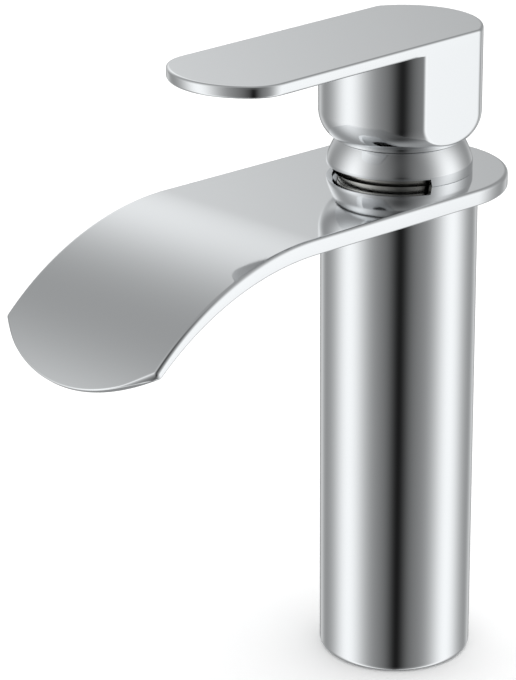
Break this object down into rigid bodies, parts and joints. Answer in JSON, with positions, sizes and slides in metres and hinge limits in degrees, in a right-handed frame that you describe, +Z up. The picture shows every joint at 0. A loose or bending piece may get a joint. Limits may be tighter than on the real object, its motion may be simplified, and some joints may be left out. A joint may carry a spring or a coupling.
{
  "type": "basin faucet",
  "caption": "Tall single-lever basin faucet: round column, open curved waterfall spout plate, collar, and a hub with a flat lever.",
  "frame": {"origin": "centre of the column's foot, on the deck", "axes": "+Z up along the column, spout and lever towards -Y, hot and cold along X"},
  "size_m": [0.0686, 0.175, 0.2125],
  "materials": {
    "polished_chrome": "mirror-polished chrome plate on brass",
    "machined_brass": "machined, unplated",
    "black_rubber": "moulded, matt",
    "white_acetal": "moulded, satin",
    "blue_nylon": "moulded, satin",
    "alumina": "lapped",
    "steel": "bright"
  },
  "bodies": {
    "body": {"column": "polished_chrome", "base_insert": "machined_brass", "base_gasket": "black_rubber", "spout_plate": "polished_chrome", "valve_body": "machined_brass", "valve_o_ring": "black_rubber", "cartridge_base": "white_acetal", "port_seals": "black_rubber", "disc_seals": "black_rubber", "fixed_disc": "alumina", "cartridge_casing": "blue_nylon", "cartridge_nut": "machined_brass", "collar": "polished_chrome", "collar_o_ring": "black_rubber"},
    "swing": {"spindle_carrier": "white_acetal", "pivot_pin": "steel"},
    "lever": {"spindle": "machined_brass", "handle": "polished_chrome", "set_screw": "steel", "index_plug": "polished_chrome"},
    "disc": {"moving_disc": "alumina", "disc_slider": "white_acetal"}
  },
  "joints": [
    {"name": "lever_swing", "type": "hinge", "parent": "body", "child": "swing", "pos_m": [0, 0, 0.163], "axis": [0, 0, 1], "range_deg": [-50, 50]},
    {"name": "lever_lift", "type": "hinge", "parent": "swing", "child": "lever", "pos_m": [0, 0, 0.163], "axis": [-1, 0, 0], "range_deg": [0, 20]},
    {"name": "disc_travel", "type": "slide", "parent": "swing", "child": "disc", "axis": [0, -1, 0], "range_m": [0, 0.0048]}
  ],
  "couplings": [
    {"joint": "disc_travel", "follows": "lever_lift", "m_per_rad": 0.013717}
  ]
}
